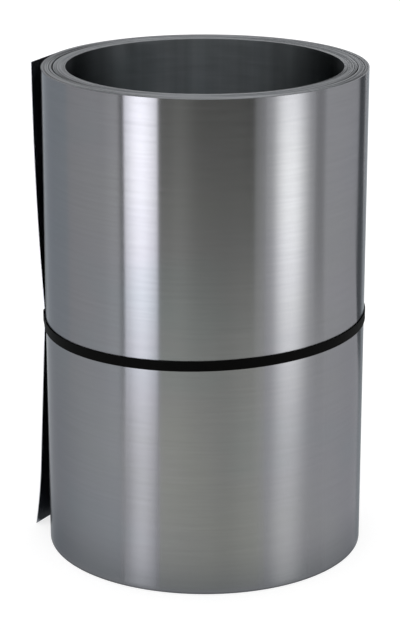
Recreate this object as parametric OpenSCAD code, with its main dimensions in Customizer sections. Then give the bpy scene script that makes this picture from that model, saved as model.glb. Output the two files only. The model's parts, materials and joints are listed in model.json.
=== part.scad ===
// Zinc coil: sheet zinc strip wound on an open bore, standing on its end.
// Its free outer end springs out above and below one flat strap.
// Origin on the coil's axis at its base, +Z up the axis. The free end is at -X.
// Angles run anticlockwise from +X, seen from above, which is also the way the
// strip is wound from the bore outwards.

/* [Strip] */
// Width of the strip, which is the height of the coil
strip_w = 600; // [200:10:1000]
// Thickness of the sheet
strip_t = 0.7; // [0.5:0.05:1.2]

/* [Winding] */
// Diameter of the open bore
bore_d = 332; // [200:1:520]
// Number of turns
turns = 36; // [12:1:80]
// Air between one turn and the next, on average
turn_gap = 0.1; // [0.05:0.01:0.3]
// Extra air at the one place where the winding is loose
loose_gap = 1.6; // [0.5:0.1:3]
// Tight turns outside the loose place
turns_past_loose = 16; // [2:1:60]
// Depth of the loose place's groove in each end of the coil
loose_depth = 8; // [2:0.5:30]
// Most that a turn stands above its neighbours
edge_scatter = 0.3; // [0.1:0.05:1]

/* [Free end] */
// Where the outer end of the strip lies, round the coil
end_angle = 176.5; // [120:0.5:240]
// Length of sheet that has sprung off the coil
tail_len = 97; // [60:1:160]
// How far the end stands off under the strap
lift_strap = 3.2; // [1.5:0.1:6]
// How far the end stands off at its top corner
lift_top = 13.2; // [4:0.1:24]
// How far the end would stand off at its bottom corner without the curl
lift_base = 16; // [4:0.1:24]
// How much further the bottom corner curls out
corner_curl = 4.4; // [0:0.1:8]

/* [Strap] */
// Width of the strap
strap_w = 12; // [8:0.5:32]
// Thickness of the strap
strap_t = 0.9; // [0.5:0.1:1.5]
// Height of the strap's centre line on the coil's axis
strap_z = 289; // [80:1:520]
// How much the strap rises to the right, in degrees
strap_tilt_x = 1.6; // [-3:0.01:3]
// How much the strap rises to the back, in degrees
strap_tilt_y = 0.48; // [-3:0.01:3]
// Length of the strap's welded overlap, at the back
weld_len = 34; // [20:1:60]
// Air between the strap and the coil
strap_clear = 0.2; // [0.1:0.05:0.5]

/* [Hidden] */
$fn = 180;

zinc = [0.50, 0.52, 0.54];
black = [0.06, 0.06, 0.065];

bore_r = bore_d / 2;
pitch = strip_t + turn_gap;
loose_after = turns - turns_past_loose;
coil_r = bore_r + turns * pitch + loose_gap;

// The turns' edges step up and down in a regular shuffle of five heights.
shuffle = 5;
shuffle_stride = 7;

// The free end's root is sunk just inside the coil.
root_sink = 1;
root_angle = end_angle - arc_angle(tail_len, coil_r);
tail_base_z = edge_scatter / 8;
tail_top_z = strip_w + edge_scatter / 8;

// Under the strap, and this far past its edges, the end edge is straight.
strap_margin = 1.5;
strap_hold = strap_w / 2 + strap_margin;
end_strap_z = strap_z - coil_r * tan(strap_tilt_x);
hold_low = end_strap_z - strap_hold;
hold_high = end_strap_z + strap_hold;
levels_below = 14;
levels_above = 12;
curl_from = 0.7;

// The strap passes over the free end as a taut band does: straight from the
// end's edge to where it meets the coil on each side.
seat_r = coil_r + strap_clear;
peak_r = seat_r + lift_strap;
reach = acos(seat_r / peak_r);
slab = 2 * (coil_r + lift_base + corner_curl);
weld_angle = arc_angle(weld_len, seat_r);

function arc_angle(len, r) = len / r * 180 / PI;
function ring(r, a) = [r * cos(a), r * sin(a)];

function turn_r(i) = bore_r + i * pitch + (i >= loose_after ? loose_gap : 0);
function turn_rise(i) = edge_scatter * ((i * shuffle_stride) % shuffle) / (shuffle - 1);

// The points of one end of the coil's section, from the bore outwards.
function end_points(z, inwards) = [
    for (i = [0 : turns - 1])
        for (p = concat(
            [[turn_r(i), z + turn_rise(i)], [turn_r(i) + pitch, z + turn_rise(i)]],
            i == loose_after - 1 ? groove_points(z + inwards * loose_depth) : []
        )) p
];
function groove_points(z) = [[turn_r(loose_after) - loose_gap, z], [turn_r(loose_after), z]];
function backwards(list) = [for (i = [len(list) - 1 : -1 : 0]) list[i]];

// How far the end edge stands off the coil at height z.
function lift(z) =
    z > hold_high ? lift_above((z - hold_high) / (tail_top_z - hold_high)) :
    z < hold_low ? lift_below((hold_low - z) / (hold_low - tail_base_z)) :
    lift_strap;
function lift_above(u) = lift_top - (lift_top - lift_strap) * pow(1 - u, 2);
function lift_below(u) = lift_strap + (lift_base - lift_strap) * u
    + corner_curl * pow(max(0, (u - curl_from) / (1 - curl_from)), 2);

// The sheet leaves the coil along a tangent, so its lift at the end sets where it
// leaves: the longer the straight run, the further out the end.
function run(z) = sqrt(pow(coil_r + lift(z), 2) - pow(coil_r, 2));
function leave_angle(z) = end_angle - arc_angle(run(z), coil_r);
function end_point(z) =
    let (a = leave_angle(z))
    ring(coil_r, a) + run(z) * [-sin(a), cos(a)];

// One level of the free end: outer root, outer end, inner end, inner root.
function tail_level(z) = [
    for (p = [
        ring(coil_r - root_sink, root_angle),
        end_point(z),
        end_point(z) - ring(strip_t, leave_angle(z)),
        ring(coil_r - root_sink - strip_t, root_angle)
    ]) [p[0], p[1], z]
];
function steps(low, high, count) = [for (i = [0 : count]) low + (high - low) * i / count];
// Four side walls between neighbouring levels, each quad as two triangles. The
// outer and the inner wall are split along the same diagonal, so that a twisted
// stretch keeps the sheet's thickness.
function walls(count) = [
    for (k = [0 : count - 2])
        for (j = [0 : 3])
            let (a = 4 * k + j, b = 4 * k + (j + 1) % 4)
            for (t = j == 2 ? [[a, a + 4, b], [b, a + 4, b + 4]] : [[a, a + 4, b + 4], [a, b + 4, b]]) t
];

module winding() {
    rotate_extrude()
        polygon(concat(end_points(0, 1), backwards(end_points(strip_w, -1))));
}

module free_end() {
    levels = concat(
        steps(tail_base_z, hold_low, levels_below),
        steps(hold_high, tail_top_z, levels_above)
    );
    last = 4 * (len(levels) - 1);
    polyhedron(
        points = [for (z = levels) for (p = tail_level(z)) p],
        faces = concat(
            walls(len(levels)),
            [[0, 1, 2], [0, 2, 3]],
            [[last, last + 2, last + 1], [last, last + 3, last + 2]]
        )
    );
}

// A taut band's outline: a circle, and the two straight runs over the end's edge.
module band_outline(skin) {
    low = end_angle - reach;
    high = end_angle + reach;
    peak = ring(peak_r, end_angle);
    circle(r = seat_r + skin);
    polygon([
        [0, 0],
        ring(seat_r + skin, low),
        peak + ring(skin, low),
        peak + ring(skin, high),
        ring(seat_r + skin, high)
    ]);
    if (skin > 0)
        translate(peak) circle(r = skin, $fn = 32);
}

module sector(from, to, r) {
    polygon([[0, 0], ring(r, from), ring(r / cos((to - from) / 2), (from + to) / 2), ring(r, to)]);
}

module zinc_coil() {
    color(zinc)
        union() {
            winding();
            free_end();
        }
}

module strap() {
    color(black)
        intersection() {
            translate([0, 0, strap_z])
                rotate([strap_tilt_y, -strap_tilt_x, 0])
                    cube([slab, slab, strap_w], center = true);
            linear_extrude(strip_w)
                difference() {
                    union() {
                        band_outline(strap_t);
                        intersection() {
                            circle(r = seat_r + 2 * strap_t);
                            sector(90 - weld_angle / 2, 90 + weld_angle / 2, slab);
                        }
                    }
                    band_outline(0);
                }
        }
}

zinc_coil();
strap();
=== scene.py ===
# %% [markdown]
# # A coil of zinc strip
# Sheet zinc for roofs and gutters is sold as a coil: one long strip wound on a drum,
# taken off the drum and stood on its end. One flat strap holds it. The outer end of
# the strip has sprung away from the coil above and below the strap.
#
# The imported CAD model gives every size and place. It is loaded first and is not moved.

# %% Load the frame
import json
from math import acos, cos, pi, radians, sin, tan

import bmesh
import bpy
import numpy as np
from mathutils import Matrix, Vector


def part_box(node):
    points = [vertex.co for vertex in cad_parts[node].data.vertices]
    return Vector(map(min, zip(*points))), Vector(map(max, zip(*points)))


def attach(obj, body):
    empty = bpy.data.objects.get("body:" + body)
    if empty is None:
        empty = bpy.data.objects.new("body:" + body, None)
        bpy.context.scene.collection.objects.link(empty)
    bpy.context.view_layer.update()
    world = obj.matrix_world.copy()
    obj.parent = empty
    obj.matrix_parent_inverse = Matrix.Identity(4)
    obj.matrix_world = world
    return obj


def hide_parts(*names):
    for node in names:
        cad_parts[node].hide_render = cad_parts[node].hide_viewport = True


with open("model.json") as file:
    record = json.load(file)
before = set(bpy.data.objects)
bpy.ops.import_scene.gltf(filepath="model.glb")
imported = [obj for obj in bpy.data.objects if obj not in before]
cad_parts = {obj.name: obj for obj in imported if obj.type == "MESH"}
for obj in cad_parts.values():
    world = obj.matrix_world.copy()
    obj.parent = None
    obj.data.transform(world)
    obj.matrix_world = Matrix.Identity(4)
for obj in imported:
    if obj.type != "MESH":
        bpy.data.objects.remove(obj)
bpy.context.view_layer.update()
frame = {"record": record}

# %% [markdown]
# ## Sizes
# The frame says how wide the bore is, how far out the last turn lies and how high the
# ends are. Only what the CAD model can't say is written here as a number, such as the
# thickness of the sheet. Everything below is in metres.

# %% Sizes of the coil
MM = 0.001
_, coil_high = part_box("zinc_coil")
bore = next(m for m in frame["record"]["mounts"] if m["name"] == "bore")
BORE_R = bore["dims"]["r_mm"] * MM
COIL_R = coil_high.x
STRIP_W = bore["dims"]["length_mm"] * MM
END_SCATTER = coil_high.z - STRIP_W
SHEET_T = 0.7 * MM
print("bore", BORE_R, "outside", COIL_R, "strip", STRIP_W, "scatter", END_SCATTER)

# %% Sizes of the strap
strap_low, strap_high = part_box("strap")
STRAP_W = 12 * MM
STRAP_T = 0.9 * MM
STRAP_CLEAR = 0.2 * MM
STRAP_TILT_X = radians(1.6)
STRAP_TILT_Y = radians(0.48)
STRAP_Z = (strap_low.z + strap_high.z) / 2
WELD_LEN = 34 * MM
print("the strap's centre line is", round(STRAP_Z, 4), "up the axis")

# %% [markdown]
# ## The camera
# A long lens far from the coil keeps its two sides nearly parallel. The camera looks
# down by about eighteen degrees, so both the outside and the open bore show.

# %% Camera
CAMERA_DROP = radians(17.72)
CAMERA_TURN = radians(-0.22)
CAMERA_FAR = 2.75
LENS = 127.2
SENSOR = 36
AIM = Vector((-0.0058, 0, 0.2868))

look = Vector((
    sin(CAMERA_TURN) * cos(CAMERA_DROP),
    cos(CAMERA_TURN) * cos(CAMERA_DROP),
    -sin(CAMERA_DROP),
))
camera = bpy.data.objects.new("camera", bpy.data.cameras.new("camera"))
bpy.context.scene.collection.objects.link(camera)
camera.data.sensor_width = SENSOR
camera.data.lens = LENS
camera.data.clip_start = 0.1
camera.data.clip_end = 100
camera.location = AIM - CAMERA_FAR * look
camera.rotation_mode = "QUATERNION"
camera.rotation_quaternion = look.to_track_quat("-Z", "Y")
bpy.context.scene.camera = camera
bpy.context.scene.view_settings.view_transform = "Standard"
print("camera at", tuple(round(c, 3) for c in camera.location))

# %% [markdown]
# ## Working by hand, in code
# Each piece starts as a flat bar: a grid, extruded to the thickness of the sheet, with
# its long edges bevelled. These are the helpers that do so with the same operators a
# person would use. The operators act on all that is selected, so each helper first
# deselects everything and then selects by place.


# %% Helpers for modelling
def pick_only(piece):
    """In object mode, selects one piece and makes it the active one."""
    bpy.ops.object.select_all(action="DESELECT")
    piece.select_set(True)
    bpy.context.view_layer.objects.active = piece


def start_editing(piece):
    """Opens one piece in edit mode with nothing selected."""
    pick_only(piece)
    bpy.ops.object.mode_set(mode="EDIT")
    bpy.ops.mesh.select_all(action="DESELECT")


def pick_edges(piece, wanted):
    """In edit mode, selects the edges whose two ends pass wanted(a, b)."""
    bpy.ops.mesh.select_mode(type="EDGE")
    shape = bmesh.from_edit_mesh(piece.data)
    for edge in shape.edges:
        edge.select = wanted(edge.verts[0].co, edge.verts[1].co)
    shape.select_flush(True)
    bmesh.update_edit_mesh(piece.data)
    return sum(edge.select for edge in shape.edges)


# %% A flat bar with rounded long edges
HAIR = 0.001 * MM  # less than any size on the coil


def flat_bar(name, length, width, thickness, steps, rows, rounding, segments=1):
    """A closed bar: X runs down its width, Y along its length, Z through the sheet."""
    bpy.ops.object.select_all(action="DESELECT")
    bpy.ops.mesh.primitive_grid_add(x_subdivisions=rows, y_subdivisions=steps, size=1)
    bar = bpy.context.object
    bar.name = bar.data.name = name
    bar.scale = (width, length, 1)
    bpy.ops.object.transform_apply(location=False, rotation=False, scale=True)
    start_editing(bar)
    bpy.ops.mesh.select_all(action="SELECT")
    bpy.ops.mesh.extrude_region_move(TRANSFORM_OT_translate={"value": (0, 0, thickness)})
    bpy.ops.mesh.select_all(action="SELECT")
    bpy.ops.transform.translate(value=(0, length / 2, -thickness / 2))
    bpy.ops.mesh.normals_make_consistent(inside=False)
    side = width / 2 - HAIR
    half_step = length / steps / 2

    def runs_along_a_side(a, b):
        return abs(a.x) > side and abs(b.x) > side and abs(a.y - b.y) > half_step

    found = pick_edges(bar, runs_along_a_side)
    bpy.ops.mesh.bevel(offset=rounding, segments=segments, affect="EDGES")
    bpy.ops.object.mode_set(mode="OBJECT")
    print(name, "has", found, "long edges bevelled and", len(bar.data.vertices), "points")
    return bar


# %% [markdown]
# ## How the strip is wound
# Real strip is wound as a spiral, each turn a sheet's thickness outside the last one.
# A Curve modifier could bend the bar along a drawn spiral, but the free end springs
# out by another amount at each height, so the winding is written as one formula that
# takes a point of the flat bar to its place in the coil.
#
# Turns are seldom equally tight. One place, about half-way through the wall, was wound
# loosely and gapes at the left and right, and a few more gape a little.

# %% How the turns lie
END_ANGLE = radians(176.5)  # of the free end, counted from the coil's right
WHOLE_TURNS = 35
START_ANGLE = radians(-100) - WHOLE_TURNS * 2 * pi  # of the strip's start in the bore
TURNS = (END_ANGLE - START_ANGLE) / (2 * pi)
print("the strip makes", round(TURNS, 2), "turns")

# turn, then the air outside it in mm: at the left, at the right, in front and behind
LOOSE_TURNS = (
    (4, 0.10, 0.15, 0.02),
    (8, 0.15, 0.35, 0.03),
    (11, 0.25, 0.15, 0.03),
    (15, 0.10, 0.50, 0.02),
    (17, 0.30, 0.05, 0.03),
    (19.6, 1.90, 1.10, 0.06),
    (23.3, 0.65, 0.10, 0.05),
    (26.5, 0.20, 0.30, 0.03),
    (29.5, 0.15, 0.65, 0.03),
    (33, 0.20, 0.25, 0.02),
)
GAP_OPENS_IN = 0.16  # of a turn


def air(left, right, front, angle):
    """How wide a loose gap is at this angle, in metres."""
    side = (left + right) / 2 - (left - right) / 2 * np.cos(angle)
    return MM * (front + (side - front) * np.cos(angle) ** 2)


def ease(x):
    """A soft step from 0 to 1."""
    x = np.clip(x, 0, 1)
    return x * x * (3 - 2 * x)


def turn_radius(angle):
    """Radius of the middle of the sheet, where the strip lies at this unwound angle."""
    turn = (angle - START_ANGLE) / (2 * pi)
    slack = sum(air(*sizes, angle) for _, *sizes in LOOSE_TURNS)
    pitch = (COIL_R - SHEET_T - BORE_R - slack) / TURNS
    shift = sum(air(*sizes, angle) * ease((turn - k) / GAP_OPENS_IN + 0.5) for k, *sizes in LOOSE_TURNS)
    return BORE_R + SHEET_T / 2 + pitch * turn + shift


def turn_rise(angle):
    """Each turn stands a little higher or lower than its neighbours. Two waves that
    don't come back into step within the coil keep the pattern from repeating."""
    turn = (angle - START_ANGLE) / (2 * pi)
    waves = 0.6 * np.sin(2 * pi * 0.37 * turn + 1) + 0.4 * np.sin(2 * pi * 0.83 * turn)
    return END_SCATTER / 2 * (1 + waves)


print("turn 0 at", turn_radius(START_ANGLE), "and the last at", turn_radius(END_ANGLE))

# %% [markdown]
# ## How the free end springs out
# The strap holds the end close to the coil. Above it the end leans out and stands
# nearly straight, and below it the end leans out further and its corner curls.
# Where the sheet lets go it runs on straight, along a tangent.

# %% How far the free end stands off
LIFT_STRAP = 3.2 * MM
LIFT_TOP = 13.2 * MM
LIFT_BASE = 16 * MM
CORNER_CURL = 4.4 * MM
CURL_FROM = 0.7  # of the way from the strap down to the corner
HELD = 7.5 * MM  # above and below the strap's centre line
end_strap_z = STRAP_Z - COIL_R * tan(STRAP_TILT_X)
hold_low = end_strap_z - HELD
hold_high = end_strap_z + HELD


def lift(z):
    """How far the end of the strip stands off the coil at this height."""
    up = np.clip((z - hold_high) / (STRIP_W - hold_high), 0, 1)
    down = np.clip((hold_low - z) / hold_low, 0, 1)
    above = (LIFT_TOP - LIFT_STRAP) * (1 - (1 - up) ** 2)
    curl = CORNER_CURL * np.clip((down - CURL_FROM) / (1 - CURL_FROM), 0, 1) ** 2
    below = (LIFT_BASE - LIFT_STRAP) * down + curl
    return LIFT_STRAP + above + below


print("the end stands off", *(round(float(lift(z)), 4) for z in (0, end_strap_z, STRIP_W)))

# %% [markdown]
# ## From flat bar to coil
# The formula reads where each point lies on the flat bar and writes where it lies in
# the coil. It also keeps the flat place as an attribute, because the rolling lines of
# the zinc run along the flat strip and are drawn from it later.


# %% Winding a flat bar into its place
def read_flat(piece):
    """How far down, along and through the flat bar each point lies."""
    flat = np.empty(len(piece.data.vertices) * 3)
    piece.data.vertices.foreach_get("co", flat)
    return flat.reshape(-1, 3).T


def keep_flat(piece, along, up, through):
    """Stores on the piece where each of its points lay on the flat strip."""
    kept = piece.data.attributes.new("flat", "FLOAT_VECTOR", "POINT")
    kept.data.foreach_set("vector", np.c_[along, up, through].ravel())


def place_points(piece, x, y, z):
    """Moves each point of the piece to its new place."""
    piece.data.vertices.foreach_set("co", np.c_[x, y, z].ravel())
    piece.data.update()


def wind(piece, first_angle):
    """Takes each point of a flat bar, whose start lies at first_angle, to its place."""
    down, along, through = read_flat(piece)
    z = STRIP_W / 2 - down
    keep_flat(piece, along, z, through)
    angle = first_angle + along / COIL_R
    run = np.sqrt((COIL_R + lift(z)) ** 2 - COIL_R**2)
    leaves = END_ANGLE - run / COIL_R
    held = np.minimum(angle, leaves)
    free = np.maximum(angle - leaves, 0) * COIL_R
    r = turn_radius(held) + through
    x = r * np.cos(held) - free * np.sin(held)
    y = r * np.sin(held) + free * np.cos(held)
    place_points(piece, x, y, z + turn_rise(held))
    print(piece.name, "is wound, its free end", round(float(free.max()), 4), "long at most")


# %% [markdown]
# A wound bar is made of flat faces, and smooth shading hides their edges. The slit
# edges have to stay crisp. The angle that still counts as smooth is under the bevel's
# steps, so that a bevel doesn't bend the light on the wide face next to it.

# %% Smooth round the coil, crisp at the edges
CRISP_OVER = 20  # degrees


def smooth(piece):
    """Shades one piece smooth, but leaves its sharper edges crisp."""
    pick_only(piece)
    bpy.ops.object.shade_smooth_by_angle(angle=radians(CRISP_OVER))


# %% [markdown]
# ## The three lengths of strip
# The strip is one, but it is modelled in three lengths that meet end to end out of
# sight. The outer turn has many rows, so that its free end can bend. The bore's turn is
# what shows inside. The turns between show only at the coil's two ends, so they are
# made of as few faces as keep them round.
#
# The outer turn is one round and 30 degrees more. So it starts under its own last
# stretch, just before the place where the sheet lets go, and its first edge is hidden.

# %% The outer turn, with the free end
OUTER_START = END_ANGLE - radians(390)
OUTER_STEPS = 234
OUTER_ROWS = 40
EDGE_ROUND = 0.12 * MM
outer_length = (END_ANGLE - OUTER_START) * COIL_R
outer = flat_bar("outer_turn", outer_length, STRIP_W, SHEET_T, OUTER_STEPS, OUTER_ROWS, EDGE_ROUND, 2)
wind(outer, OUTER_START)
smooth(outer)

# %% The bore's turn
BORE_TURNS = 1.1
BORE_END = START_ANGLE + 2 * pi * BORE_TURNS
BORE_STEPS = 160
BORE_ROWS = 6
inner_length = (BORE_END - START_ANGLE) * COIL_R
inner = flat_bar("bore_turn", inner_length, STRIP_W, SHEET_T, BORE_STEPS, BORE_ROWS, EDGE_ROUND, 2)
wind(inner, START_ANGLE)
smooth(inner)

# %% The turns between
STEPS_A_TURN = 144
between_length = (OUTER_START - BORE_END) * COIL_R
between_steps = round((OUTER_START - BORE_END) / (2 * pi) * STEPS_A_TURN)
between = flat_bar("turns_between", between_length, STRIP_W, SHEET_T, between_steps, 1, EDGE_ROUND)
wind(between, BORE_END)
smooth(between)

# %% [markdown]
# ## The strap
# A flat black strap, pulled taut round the coil and welded to itself at the back. It
# passes over the edge of the free end, so on both sides of that edge it runs straight.
# It starts as a flat bar too, and one more formula lays it round the coil. Its outer
# end lies on its own start, where the weld is.

# %% How the strap runs
STRAP_R = COIL_R + STRAP_CLEAR
STRAP_PEAK = COIL_R + LIFT_STRAP + STRAP_CLEAR
STRAP_BEND = 0.02  # radians, over which the strap bends at the edge of the free end
WELD_ANGLE = WELD_LEN / COIL_R
WELD_STEP = 0.05  # radians, over which the strap's end climbs onto its start
reach = acos(STRAP_R / STRAP_PEAK)
print("the strap runs straight for", round(reach, 3), "radians on both sides of the edge")


def strap_inside(angle):
    """Radius of the strap's inner face: round the coil, and straight near the end."""
    off = np.abs((angle - END_ANGLE + pi) % (2 * pi) - pi)
    soft = np.sqrt(off**2 + STRAP_BEND**2) - STRAP_BEND * (1 - np.clip(off / reach, 0, 1))
    straight = STRAP_R / np.cos(reach - np.minimum(soft, reach))
    return np.where(off < reach, straight, STRAP_R)


def lay_strap(piece, first_angle):
    """Lays a flat bar round the coil as the strap."""
    down, along, through = read_flat(piece)
    keep_flat(piece, along, -down, through)
    angle = first_angle + along / COIL_R
    over = ease((angle - first_angle - 2 * pi + WELD_STEP) / WELD_STEP)
    r = strap_inside(angle) + STRAP_T / 2 + through + over * STRAP_T
    x = r * np.cos(angle)
    y = r * np.sin(angle)
    place_points(piece, x, y, STRAP_Z + x * tan(STRAP_TILT_X) + y * tan(STRAP_TILT_Y) - down)


# %% The strap
STRAP_STEPS = 300
STRAP_ROWS = 4
STRAP_EDGE_ROUND = 0.22 * MM
BACK = radians(90)  # the side of the coil that faces away from the camera
strap_start = BACK - WELD_ANGLE / 2
strap_length = (2 * pi + WELD_ANGLE) * COIL_R
strap = flat_bar("strap_band", strap_length, STRAP_W, STRAP_T, STRAP_STEPS, STRAP_ROWS,
                 STRAP_EDGE_ROUND, 2)
lay_strap(strap, strap_start)
smooth(strap)
print("the strap is", round(strap_length, 3), "long")

# %% [markdown]
# ## Finishes
# A finish could be painted as pictures, but a tree of nodes gives it at any size and
# needs no file. Most of what follows is noise, stretched, mapped to a range and mixed.
# These helpers keep each step of such a tree to one line.


# %% Helpers for materials
def bare_material(name):
    """A material with no nodes yet."""
    finish = bpy.data.materials.new(name)
    finish.use_nodes = True
    finish.node_tree.nodes.clear()
    return finish


def new_material(name):
    """A material and its shader, which the caller then sets."""
    finish = bare_material(name)
    out = finish.node_tree.nodes.new("ShaderNodeOutputMaterial")
    shader = finish.node_tree.nodes.new("ShaderNodeBsdfPrincipled")
    finish.node_tree.links.new(shader.outputs[0], out.inputs[0])
    return finish, shader


def node(finish, kind, operation=None, places=(), **inputs):
    """Adds a node to a material or the world. A value sets the input of that name, and a
    socket is linked to it. places does the same for the first inputs in their order."""
    new = finish.node_tree.nodes.new(kind)
    if operation:
        new.operation = operation
    wanted = [(new.inputs[name.replace("_", " ")], value) for name, value in inputs.items()]
    for socket, value in wanted + list(zip(new.inputs, places)):
        if isinstance(value, bpy.types.NodeSocket):
            finish.node_tree.links.new(value, socket)
        else:
            socket.default_value = value
    return new


def link(finish, source, target):
    """Links an output socket to an input socket."""
    finish.node_tree.links.new(source, target)


# %% Helpers for patterns
def noise(finish, place, scale, size, detail=2.0, roughness=0.5):
    """Noise on a place vector that is first stretched by size."""
    stretch = node(finish, "ShaderNodeMapping", Vector=place, Scale=size)
    return node(finish, "ShaderNodeTexNoise", Vector=stretch.outputs[0], Scale=scale, Detail=detail,
                Roughness=roughness).outputs["Fac"]


def span(finish, source, low, high, to_low, to_high):
    """Maps a value from low..high to to_low..to_high."""
    new = finish.node_tree.nodes.new("ShaderNodeMapRange")
    link(finish, source, new.inputs["Value"])
    for name, value in zip(("From Min", "From Max", "To Min", "To Max"), (low, high, to_low, to_high)):
        new.inputs[name].default_value = value
    return new.outputs[0]


def times(finish, a, b):
    """The product of two values, each a number or a socket."""
    return node(finish, "ShaderNodeMath", operation="MULTIPLY", places=(a, b)).outputs[0]


def ramp(finish, source, stops):
    """A colour ramp through (position, linear colour) stops."""
    new = node(finish, "ShaderNodeValToRGB", Fac=source)
    while len(new.color_ramp.elements) < len(stops):
        new.color_ramp.elements.new(0.5)
    for element, (position, colour) in zip(new.color_ramp.elements, stops):
        element.position = position
        element.color = (*colour, 1)
    return new.outputs[0]


# %% Helpers for where a point lies
def flat_place(finish):
    """Where a point lay before winding: along the strip, up it and through the sheet."""
    found = node(finish, "ShaderNodeAttribute")
    found.attribute_name = "flat"
    return found.outputs["Vector"]


def off_axis(finish):
    """The level way from the coil's axis to a point, and how long it is."""
    spot = node(finish, "ShaderNodeTexCoord").outputs["Object"]
    level = node(finish, "ShaderNodeVectorMath", "MULTIPLY", (spot, (1, 1, 0))).outputs[0]
    return level, node(finish, "ShaderNodeVectorMath", "LENGTH", (level,)).outputs["Value"]


# %% [markdown]
# ### Rolled zinc
# New zinc is a cool grey that is cloudy from one hand's breadth to the next. The rolls
# leave fine lines along the strip. Both are noise on the strip's flat place: the clouds
# are nearly as long as wide, and the lines are stretched along the strip. The lowest two
# millimetres are darkened as painted shade, where the coil's foot meets the floor.

# %% Rolled zinc: clouds and lines
zinc, zinc_shader = new_material("rolled_zinc")
place = flat_place(zinc)
along, height, through = node(zinc, "ShaderNodeSeparateXYZ", Vector=place).outputs
cloud = noise(zinc, place, 1.0, (3.0, 4.5, 0), 3.0, 0.55)
cloud_colour = ramp(zinc, cloud, (
    (0.30, (0.196, 0.210, 0.224)),
    (0.45, (0.209, 0.211, 0.226)),
    (0.56, (0.213, 0.216, 0.226)),
    (0.72, (0.219, 0.218, 0.236)),
))
lines = noise(zinc, place, 1.0, (7, 240, 0), 4.0, 0.75)
# painted shade: the strip is darker in its lowest two millimetres, where it meets the floor
painted_foot_shade = span(zinc, height, 0.2 * MM, 2.2 * MM, 0.45, 1)
lines_and_painted_foot_shade = times(zinc, painted_foot_shade, span(zinc, lines, 0.25, 0.75, 0.95, 1.05))
print("rolled zinc has", len(zinc.node_tree.nodes), "nodes for its clouds and lines")

# %% [markdown]
# The sheet's inner face lay on the drum and on the turn below it. In the bore it is
# rougher than outside. Its colour there is lifted and a little greener: the lift is
# painted light for a bore in shade, and faint upright streaks in it are painted
# reflections. A mask on the distance from the axis tells the bore's face from the rest.

# %% Rolled zinc: the bore
_, from_axis = off_axis(zinc)
in_bore = span(zinc, from_axis, BORE_R + 2 * MM, BORE_R + 3 * MM, 1, 0)
# painted reflections: faint upright streaks in the bore's colour
painted_reflection_streaks = span(zinc, noise(zinc, place, 1.0, (26, 0, 0), 3.0, 0.6), 0.3, 0.7, 0.84, 1.16)
painted_streaks_in_bore = node(zinc, "ShaderNodeMix", Factor=in_bore, A=1.0, B=painted_reflection_streaks).outputs[0]
shade = times(zinc, lines_and_painted_foot_shade, painted_streaks_in_bore)
shaded = node(zinc, "ShaderNodeVectorMath", "SCALE", (cloud_colour,), Scale=shade).outputs[0]
# painted light: the bore's colour is lifted, and made a little greener, because the bore lies in shade
bore_painted_lift_and_tint = ramp(zinc, in_bore, ((0, (1, 1, 1)), (1, (1.1, 1.18, 1.17))))
colour_with_bore_lift = node(zinc, "ShaderNodeVectorMath", "MULTIPLY", (shaded, bore_painted_lift_and_tint)).outputs[0]
print("the bore's finish reaches", round(BORE_R + 2 * MM, 4), "from the axis")

# %% [markdown]
# Where the end has sprung off, the face inside it and the wall under it have lain
# against each other until now. Little light reaches the narrow space between them, so
# their colour is lifted as painted light, which keeps them from going quite black. On
# the end the mask takes the inner face where it stands off the coil, and on the wall it
# takes the outer face of a length's first ten centimetres. Only the outer turn's can be
# seen.

# %% Rolled zinc: painted light in the gap at the free end
GAP_PAINTED_BRIGHTNESS = 3.6
inward = span(zinc, through, -0.01 * MM, 0.01 * MM, 1, 0)
outward = span(zinc, inward, 0, 1, 1, 0)
stands_off = span(zinc, from_axis, COIL_R + 0.3 * MM, COIL_R + 1 * MM, 0, 1)
on_free_end = times(zinc, inward, stands_off)
under_free_end = times(zinc, outward, span(zinc, along, 98 * MM, 102 * MM, 0.27, 0))
# painted light: the faces in the gap at the free end are lifted in colour
painted_gap_light = node(zinc, "ShaderNodeMath", "ADD", (on_free_end, under_free_end)).outputs[0]
painted_gap_lift = span(zinc, painted_gap_light, 0, 1, 1, GAP_PAINTED_BRIGHTNESS)
zinc_colour = node(zinc, "ShaderNodeVectorMath", "SCALE", (colour_with_bore_lift,), Scale=painted_gap_lift).outputs[0]
link(zinc, zinc_colour, zinc_shader.inputs["Base Color"])
zinc_shader.inputs["Metallic"].default_value = 1.0
print("rolled zinc has", len(zinc.node_tree.nodes), "nodes for its colour")

# %% [markdown]
# The rolling lines spread a highlight across them and keep it sharp along them. A bump
# could do that only if it were finer than the picture. The shader's own way is called
# anisotropic, and it needs a direction: the first coordinate of the strip's own map,
# which runs down the strip's width. A faint bump adds the lines that can be seen.
#
# A metal turns whiter at a grazing angle. The thin oxide on zinc dulls that, and so does
# the rougher face in the bore, so the tint for that angle is well under white. The
# outside's tint is also set as a plain value, for a tool that can't follow the ramp.

# %% Rolled zinc: gloss
streaks = noise(zinc, place, 1.0, (16, 170, 0), 3.0, 0.7)
polish = times(zinc, span(zinc, in_bore, 0, 1, 1, 1.7), span(zinc, streaks, 0.3, 0.7, 0.168, 0.204))
link(zinc, polish, zinc_shader.inputs["Roughness"])
zinc_shader.inputs["Anisotropic"].default_value = 1.0
tangent = node(zinc, "ShaderNodeTangent")
tangent.direction_type = "UV_MAP"
tangent.uv_map = "UVMap"
link(zinc, tangent.outputs[0], zinc_shader.inputs["Tangent"])
OUTSIDE_GRAZING = (0.6, 0.6, 0.62)
BORE_GRAZING = (0.36, 0.36, 0.37)
zinc_shader.inputs["Specular Tint"].default_value = (*OUTSIDE_GRAZING, 1)
grazing_tint = ramp(zinc, in_bore, ((0, OUTSIDE_GRAZING), (1, BORE_GRAZING)))
link(zinc, grazing_tint, zinc_shader.inputs["Specular Tint"])
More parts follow.
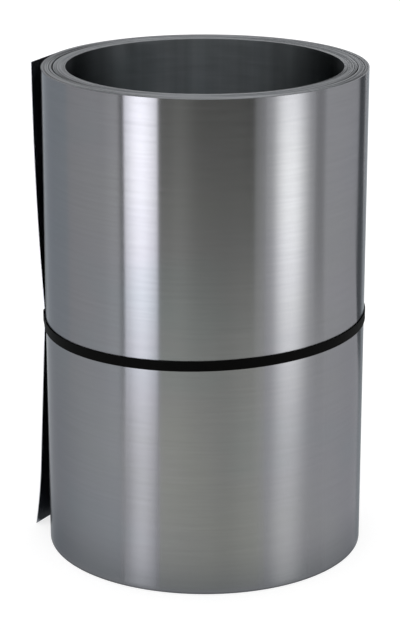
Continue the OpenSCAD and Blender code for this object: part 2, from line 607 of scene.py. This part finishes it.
bump = node(zinc, "ShaderNodeBump", Strength=0.04, Distance=0.2 * MM, Height=streaks)
link(zinc, bump.outputs[0], zinc_shader.inputs["Normal"])
print("rolled zinc has", len(zinc.node_tree.nodes), "nodes in all")

# %% [markdown]
# ### Slit edge
# The two edges of the strip were slit. A slit edge is rougher and duller than the
# rolled face, and torn along part of its thickness. The edge changes along the strip,
# and neighbouring turns differ, which is what makes them tell apart on the coil's two
# ends. So one noise runs along the strip, and another is in rings round the axis: it
# reads the way out from the axis, lifted by how far out the point lies, so fast that
# it changes from one turn to the next.

# %% Slit edge
slit, slit_shader = new_material("slit_edge")
slit_place = flat_place(slit)
torn = noise(slit, slit_place, 1.0, (40, 40, 3000), 3.0, 0.6)
along_strip = span(slit, noise(slit, slit_place, 1.0, (2.1, 0, 0), 2.0, 0.7), 0.35, 0.65, 0.85, 1.15)
LIFT_A_METRE = 760  # of noise, for each metre outwards
way_out, radius = off_axis(slit)
outwards = node(slit, "ShaderNodeVectorMath", "NORMALIZE", (way_out,)).outputs[0]
rise = node(slit, "ShaderNodeCombineXYZ", Z=times(slit, radius, LIFT_A_METRE)).outputs[0]
ring_place = node(slit, "ShaderNodeVectorMath", "ADD", (outwards, rise)).outputs[0]
rings = noise(slit, ring_place, 1.0, (1, 1, 1), 1.0, 0.5)
slit_colour = ramp(slit, times(slit, along_strip, rings), (
    (0.36, (0.07, 0.074, 0.079)),
    (0.43, (0.267, 0.28, 0.297)),
    (0.55, (0.354, 0.366, 0.385)),
    (0.66, (0.45, 0.464, 0.482)),
))
link(slit, slit_colour, slit_shader.inputs["Base Color"])
link(slit, span(slit, torn, 0.3, 0.7, 0.5, 0.62), slit_shader.inputs["Roughness"])
slit_shader.inputs["Metallic"].default_value = 1.0
print("slit edge has", len(slit.node_tree.nodes), "nodes")

# %% [markdown]
# ### Black strap
# The strap is black plastic with a fine embossed check that keeps it from slipping in
# the tensioner.

# %% Black strap
CHECKS_A_METRE = 900.0
plastic, plastic_shader = new_material("black_strap")
strap_place = flat_place(plastic)
grain = noise(plastic, strap_place, 1.0, (300, 900, 300), 3.0, 0.6)
plastic_colour = ramp(plastic, grain, ((0.3, (0.0016, 0.0016, 0.0016)), (0.7, (0.0034, 0.0034, 0.0033))))
link(plastic, plastic_colour, plastic_shader.inputs["Base Color"])
link(plastic, span(plastic, grain, 0.3, 0.7, 0.5, 0.62), plastic_shader.inputs["Roughness"])
plastic_shader.inputs["Specular IOR Level"].default_value = 0.02
check = node(plastic, "ShaderNodeTexChecker", Vector=strap_place, Scale=CHECKS_A_METRE)
embossed = node(plastic, "ShaderNodeBump", Strength=0.15, Distance=0.1 * MM, Height=check.outputs["Fac"])
link(plastic, embossed.outputs[0], plastic_shader.inputs["Normal"])
print("black strap has", len(plastic.node_tree.nodes), "nodes")

# %% [markdown]
# ### Which face has which finish
# On the strip only the two long edges were slit. A person would select them by hand.
# Here the kept flat place tells them: all corners of such a face lie at the very top
# or foot of the strip.

# %% Give each piece its finish
ON_THE_EDGE = EDGE_ROUND * 1.01  # the bevel and a hair more


def wear_zinc(piece):
    """Gives a length of strip its rolled faces and its two slit edges."""
    piece.data.materials.append(zinc)
    piece.data.materials.append(slit)
    flat = np.empty(len(piece.data.vertices) * 3)
    piece.data.attributes["flat"].data.foreach_get("vector", flat)
    up = flat.reshape(-1, 3)[:, 1]
    on_edge = np.abs(up - STRIP_W / 2) > STRIP_W / 2 - ON_THE_EDGE
    for face in piece.data.polygons:
        face.material_index = int(all(on_edge[v] for v in face.vertices))
    print(piece.name, "has", sum(f.material_index for f in piece.data.polygons), "slit faces")


for piece in (outer, inner, between):
    wear_zinc(piece)
strap.data.materials.append(plastic)

# %% [markdown]
# ## The studio
# The coil stands on a plain pale floor in even light. The floor could be lit until it
# is white, but that would drown the coil's soft shadow. So only the camera and mirrors
# see the floor's own glow, and see the air a little brighter than it lights the coil.

# %% Floor and world
FLOOR_SIZE = 80
FLOOR_LOW = 0.2 * MM  # under the coil, so that no two faces share one plane
FLOOR_TONE = 0.5
FLOOR_GLOW = 0.68
AIR_LIGHT = 0.9


def seen_in_camera_and_mirrors(finish):
    """1 for rays that come from the camera, a mirror or glass, 0 for the rest."""
    path = node(finish, "ShaderNodeLightPath")
    total = path.outputs["Is Camera Ray"]
    for name in ("Is Glossy Ray", "Is Transmission Ray"):
        add = node(finish, "ShaderNodeMath", "ADD", (total, path.outputs[name]))
        add.use_clamp = True
        total = add.outputs[0]
    return total


bpy.ops.object.select_all(action="DESELECT")
bpy.ops.mesh.primitive_plane_add(size=FLOOR_SIZE, location=(0, 0, -FLOOR_LOW))
floor = bpy.context.object
floor.name = "floor"
floor_finish, floor_shader = new_material("floor")
floor_shader.inputs["Base Color"].default_value = (FLOOR_TONE, FLOOR_TONE, FLOOR_TONE, 1)
floor_shader.inputs["Roughness"].default_value = 0.9
floor_shader.inputs["Specular IOR Level"].default_value = 0
floor_shader.inputs["Emission Color"].default_value = (1, 1, 1, 1)
lift_white = span(floor_finish, seen_in_camera_and_mirrors(floor_finish), 0, 1, 0, FLOOR_GLOW)
link(floor_finish, lift_white, floor_shader.inputs["Emission Strength"])
floor.data.materials.append(floor_finish)

world = bpy.data.worlds.new("studio")
world.use_nodes = True
bpy.context.scene.world = world
background = world.node_tree.nodes["Background"]
background.inputs["Color"].default_value = (1, 1, 1, 1)
air_strength = span(world, seen_in_camera_and_mirrors(world), 0, 1, AIR_LIGHT, 1.0)
link(world, air_strength, background.inputs["Strength"])
print("the floor glows", FLOOR_GLOW, "and the air gives", AIR_LIGHT)

# %% [markdown]
# Metal shows what is around it, so the room has what a product studio has: a lit panel
# on each side, a darker curtain behind the camera and pale walls. They are cards that
# show only in reflections. Lamps could light the coil instead, but a card's light can
# be shaped from side to side and upwards, as a real soft box's is by its cloth. A
# card's place is given by the bearing in which the wall mirrors it.


# %% Where a card stands
def mirror_spot(bearing, distance):
    """Where a ray from the camera lands after the wall mirrors it towards a bearing.
    Bearing 0 is towards the camera, and it grows to the right."""
    half, whole = radians(bearing) / 2, radians(bearing)
    x = COIL_R * sin(half) + distance * sin(whole)
    y = -COIL_R * cos(half) - distance * cos(whole)
    return x, y


def shaped(finish, value, points):
    """A curve through (place, height) points, for how a card's light varies across it."""
    curve = node(finish, "ShaderNodeFloatCurve", Value=value)
    line = curve.mapping.curves[0]
    while len(line.points) < len(points):
        line.points.new(0.5, 0.5)
    for point, (x, y) in zip(line.points, points):
        point.location = (x, y)
    curve.mapping.update()
    return curve.outputs[0]


def show_only_mirrored(made, finish, glow, solid):
    """Finishes a piece of the studio that shows only in reflections, where solid is 1."""
    clear = node(finish, "ShaderNodeBsdfTransparent")
    mix = node(finish, "ShaderNodeMixShader", places=(solid, clear.outputs[0], glow.outputs[0]))
    node(finish, "ShaderNodeOutputMaterial", Surface=mix.outputs[0])
    made.data.materials.append(finish)
    made.visible_camera = False
    made.visible_diffuse = False
    made.visible_shadow = False


# %% A card
EVEN = ((0, 1), (1, 1))
CARD_STEPS = 24
CARD_ROWS = 12


def card(name, bearings, distance, heights, colour, strength,
         across=EVEN, upward=EVEN, cover=EVEN, foot=None):
    """A card between two bearings. across and upward shape its light, cover is how solid
    it is from side to side, and foot gives other bearings at its lower edge. Two
    distances, one for each edge, make it lie or lean."""
    bpy.ops.object.select_all(action="DESELECT")
    bpy.ops.mesh.primitive_grid_add(x_subdivisions=CARD_STEPS, y_subdivisions=CARD_ROWS, size=1)
    made = bpy.context.object
    made.name = name
    low, high = distance if isinstance(distance, tuple) else (distance, distance)
    foot = foot or bearings
    for vertex in made.data.vertices:
        u, v = vertex.co.x + 0.5, vertex.co.y + 0.5
        left, right = (foot[k] + (bearings[k] - foot[k]) * v for k in (0, 1))
        spot = mirror_spot(left + (right - left) * u, low + (high - low) * v)
        vertex.co = (*spot, heights[0] + (heights[1] - heights[0]) * v)
    finish = bare_material(name)
    split = node(finish, "ShaderNodeSeparateXYZ", Vector=node(finish, "ShaderNodeTexCoord").outputs["UV"])
    light = times(finish, shaped(finish, split.outputs[0], across), shaped(finish, split.outputs[1], upward))
    glow = node(finish, "ShaderNodeEmission", Color=(*colour, 1), Strength=times(finish, light, strength))
    show_only_mirrored(made, finish, glow, shaped(finish, split.outputs[0], cover))


# %% [markdown]
# The wall is seen from above, so it mirrors only what stands lower than its rim. The
# lit cards end just above the coil. Each panel also lights the floor in front of it,
# and a card that lies on the floor stands for that.

# %% Heights, distances and colours of the cards
TOP = 0.62
ON_FLOOR = (0.4 * MM, 0.4 * MM)
PANEL_FAR = 0.7
WALL_FAR = 0.8
CURTAIN_FAR = 1.2
BY_THE_COIL = 0.01
TO_PANEL = (BY_THE_COIL, PANEL_FAR)
TO_CURTAIN = (BY_THE_COIL, CURTAIN_FAR)
TO_WALL = (BY_THE_COIL, 1.6)
WHITE = (1, 1, 1)
COOL = (0.9, 0.97, 1)
LEFT_LIGHT = (1, 0.99, 1.03)
LEFT_FLOOR_LIGHT = (1, 1, 1.01)
RIGHT_LIGHT = (1, 1, 0.98)
FRONT_TONE = (1, 1, 0.93)
FRONT_FLOOR_TONE = (0.99, 1, 0.9)
LEFT_FLOOR_TONE = (0.95, 0.985, 1)
print("the lit cards end", round(TOP - coil_high.z, 4), "above the coil")

# %% [markdown]
# The left panel makes the bright band on the coil's left. It is brightest in the middle
# of its width and thins out towards its foot.

# %% The left panel, its frame and the floor by it
LEFT_PANEL = (-57.4, -32.5)
HUMP = ((0, 0.7), (0.07, 0.68), (0.27, 0.88), (0.5, 1), (0.75, 0.85), (1, 0.54))
card("panel_left", LEFT_PANEL, PANEL_FAR, (0, TOP), LEFT_LIGHT, 5.15, across=HUMP,
     upward=((0, 0.56), (0.25, 0.72), (0.5, 0.93), (0.75, 1), (1, 1)))
card("floor_by_left_panel", LEFT_PANEL, TO_PANEL, ON_FLOOR, LEFT_FLOOR_LIGHT, 2.25, across=HUMP,
     upward=((0, 1), (0.15, 0.83), (0.3, 0.79), (1, 0.74)), foot=(-59, -34))
card("frame_left", (-65, -57.4), WALL_FAR, (0.02, TOP), WHITE, 1.0,
     across=((0, 1), (0.45, 1), (0.7, 0.5), (1, 0.4)),
     upward=((0, 1), (0.5, 0.85), (1, 0.65)))
print("the left panel spans the bearings", LEFT_PANEL)

# %% [markdown]
# The right panel's cloth fades out at both sides, so the band that it makes on the coil
# has soft edges. Its cover says so, and what stands behind it shows through.

# %% The right panel, its frame and the floor by it
BELL = ((0, 0), (0.12, 0.06), (0.19, 0.19), (0.25, 0.44), (0.33, 0.73), (0.43, 0.96), (0.53, 1),
        (0.65, 0.83), (0.725, 0.6), (0.815, 0.33), (0.905, 0.08), (1, 0))
card("panel_right", (40.5, 83), PANEL_FAR, (0, TOP), RIGHT_LIGHT, 4.6, cover=BELL,
     upward=((0, 0.5), (0.25, 0.7), (0.4, 0.9), (0.5, 1), (0.6, 0.85), (1, 0.7)))
card("floor_by_right_panel", (40, 83), TO_PANEL, ON_FLOOR, RIGHT_LIGHT, 1.9, cover=BELL,
     upward=((0, 1), (0.15, 0.81), (0.3, 0.84), (1, 0.87)), foot=(38, 81))
card("frame_right", (82, 93), WALL_FAR, (0.1, TOP), WHITE, 0.7,
     cover=((0, 0), (0.4, 1), (0.6, 1), (1, 0)))
print("the right panel is solid only at", max(BELL, key=lambda point: point[1])[0], "of its width")

# %% [markdown]
# Between the two bands the wall mirrors the curtain behind the camera, which hangs in
# folds and is darker towards its top, and lower down the floor before it.

# %% The curtain behind the camera and the floor before it
FRONT = (-32, 43)
FRONT_FOLDS = ((0, 0.9), (0.05, 0.8), (0.1, 0.83), (0.19, 1), (0.28, 0.82), (0.41, 0.56), (0.56, 0.54),
               (0.75, 0.49), (0.85, 0.42), (1, 0.45))
card("curtain_front", FRONT, CURTAIN_FAR, (0, TOP), FRONT_TONE, 0.64, across=FRONT_FOLDS,
     upward=((0, 1), (0.3, 0.98), (0.48, 0.59), (1, 0.43)),
     cover=((0, 1), (0.86, 1), (0.9, 0.6), (1, 0.25)))
card("floor_front", FRONT, TO_CURTAIN, ON_FLOOR, FRONT_FLOOR_TONE, 1.18,
     across=((0, 1), (0.1, 1), (0.2, 0.955), (0.3, 0.925), (0.45, 0.885), (0.62, 0.83), (0.83, 0.94), (1, 1)),
     upward=((0, 0.93), (0.2, 0.95), (0.4, 1), (1, 1)))
print("the curtain spans the bearings", FRONT)

# %% [markdown]
# Light comes into the bore over its rim, from what stands above the coil. One low card
# stands there in front, and two tall ones at the sides. The middle of the bore's far
# wall faces the pale room over the low card, so it is lighter than the bore's two sides,
# which face the tall ones.

# %% The dark cards above the coil
HIGH = 3.2
card("dark_above_front", (-80, 80), CURTAIN_FAR, (TOP, 1.06), WHITE, 0.12)
card("dark_above_left", (-165, -75), CURTAIN_FAR, (TOP, HIGH), WHITE, 0.4,
     across=((0, 0.1), (0.4, 0.2), (0.7, 0.7), (1, 1)),
     cover=((0, 1), (0.7, 1), (1, 0)))
card("dark_above_right", (75, 165), CURTAIN_FAR, (TOP, HIGH), WHITE, 0.4,
     across=((0, 1), (0.3, 0.8), (0.5, 0.75), (0.7, 0.3), (1, 0.1)),
     cover=((0, 0.3), (0.14, 0.4), (0.4, 1), (1, 1)))
print("the dark cards reach up to", HIGH)

# %% [markdown]
# The coil's two outer edges, seen nearly edge on, mirror the sides and the back of the
# room. A real room is darker in some places there, such as at a doorway.

# %% The walls, the side curtains and the floor at the sides and back
SIDE = (137, 152)
SIDE_FAR = 0.75
SIDE_NARROWS = 0.15
card("curtain_side", SIDE, SIDE_FAR, (SIDE_NARROWS, TOP), COOL, 0.25)
card("curtain_side_foot", SIDE, SIDE_FAR, (0, SIDE_NARROWS), COOL, 0.25, foot=(146, 155))
BACK_FAR = 0.9
card("curtain_back_right", (155, 179), BACK_FAR, (0, TOP), COOL, 0.7)
card("curtain_back_left", (-179, -160), BACK_FAR, (0, TOP), COOL, 0.4)
card("curtain_left", (-159, -112), WALL_FAR, (0, TOP), COOL, 0.92,
     upward=((0, 0.94), (0.7, 0.94), (1, 1)))
card("wall_left", (-112, -62), WALL_FAR, (0, TOP), WHITE, 1.2,
     across=((0, 0.76), (0.3, 0.79), (0.56, 0.82), (0.75, 0.86), (0.86, 0.95), (1, 1)),
     upward=((0, 0.96), (0.7, 0.96), (1, 1)))
card("floor_left", (-179, -62), TO_WALL, ON_FLOOR, LEFT_FLOOR_TONE, 1.06,
     across=((0, 0.8), (0.54, 0.84), (0.72, 0.93), (0.81, 0.96), (0.94, 1), (1, 1)),
     upward=((0, 0.92), (0.3, 1), (1, 1)))
card("floor_right", (96, 150), TO_WALL, ON_FLOOR, WHITE, 1.1)
card("floor_back_right", (150, 179), TO_WALL, ON_FLOOR, COOL, 0.65)

# %% [markdown]
# Where the coil stands, its wall shades the floor next to it, and the wall mirrors
# that shade. The floor's own glow would hide it there, so a soft dark disc that shows
# only in reflections stands for it. Inside the bore hardly any light reaches the floor.


# %% The shade at the foot
def shade_disc(name, radius, location, vertices):
    """A disc just above the floor, its empty finish and where its points lie."""
    bpy.ops.object.select_all(action="DESELECT")
    bpy.ops.mesh.primitive_circle_add(vertices=vertices, radius=radius, fill_type="NGON", location=location)
    made = bpy.context.object
    made.name = name
    finish = bare_material(name)
    return made, finish, node(finish, "ShaderNodeTexCoord").outputs["Object"]


foot_shade, foot_finish, foot_spot = shade_disc("foot_shade", 2 * COIL_R, (0, 0, 0.6 * MM), 64)
foot_far = node(foot_finish, "ShaderNodeVectorMath", "LENGTH", (foot_spot,)).outputs["Value"]
foot_light = span(foot_finish, foot_far, BORE_R, BORE_R + 2 * MM, 0.02, 0.5)
foot_glow = node(foot_finish, "ShaderNodeEmission", Color=(*COOL, 1), Strength=foot_light)
SHADE_CENTRE = (-0.01, -0.03, 0)
SHADE_FROM = 0.97 * COIL_R
SHADE_TO = 1.5 * COIL_R
foot_off = node(foot_finish, "ShaderNodeVectorMath", "DISTANCE", (foot_spot, SHADE_CENTRE)).outputs["Value"]
foot_cover = span(foot_finish, foot_off, SHADE_FROM, SHADE_TO, 0.62, 0)
show_only_mirrored(foot_shade, foot_finish, foot_glow, foot_cover)
print("the shade fades out", round(SHADE_TO, 3), "from its centre")

# %% [markdown]
# Under the free end the floor is darker still. A second, smaller disc stands for that.
# Only the space between the end and the coil may mirror it, so it is cut off along the
# plane of the free end. The open floor beside the end stays bright.

# %% The shade under the free end
END_SHADE_R = 65 * MM
END_SHADE_AT = (-0.190, 0.064, 0.9 * MM)
END_OUTWARD = (-0.863, 0.505, 0)  # the way the foot of the free end faces
end_shade, end_finish, end_spot = shade_disc("end_shade", END_SHADE_R, END_SHADE_AT, 32)
end_far = node(end_finish, "ShaderNodeVectorMath", "LENGTH", (end_spot,)).outputs["Value"]
end_side = node(end_finish, "ShaderNodeVectorMath", "DOT_PRODUCT", (end_spot, END_OUTWARD)).outputs["Value"]
end_fade = span(end_finish, end_far, 40 * MM, 58 * MM, 1, 0)
end_inside = span(end_finish, end_side, -0.8 * MM, -0.3 * MM, 1, 0)
end_glow = node(end_finish, "ShaderNodeEmission", Color=(*COOL, 1), Strength=0.03)
show_only_mirrored(end_shade, end_finish, end_glow, times(end_finish, end_fade, end_inside))
print("the shade under the free end is", END_SHADE_R, "in radius")

# %% [markdown]
# ## Putting it together
# Nothing on a coil moves, so every piece rides on the one body. The three lengths of
# strip stand for the one CAD coil, and the strap for the CAD strap.

# %% Bodies, and the CAD parts hidden
for piece in (outer, inner, between):
    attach(piece, "root")
    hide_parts("zinc_coil")
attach(strap, "root")
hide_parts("strap")
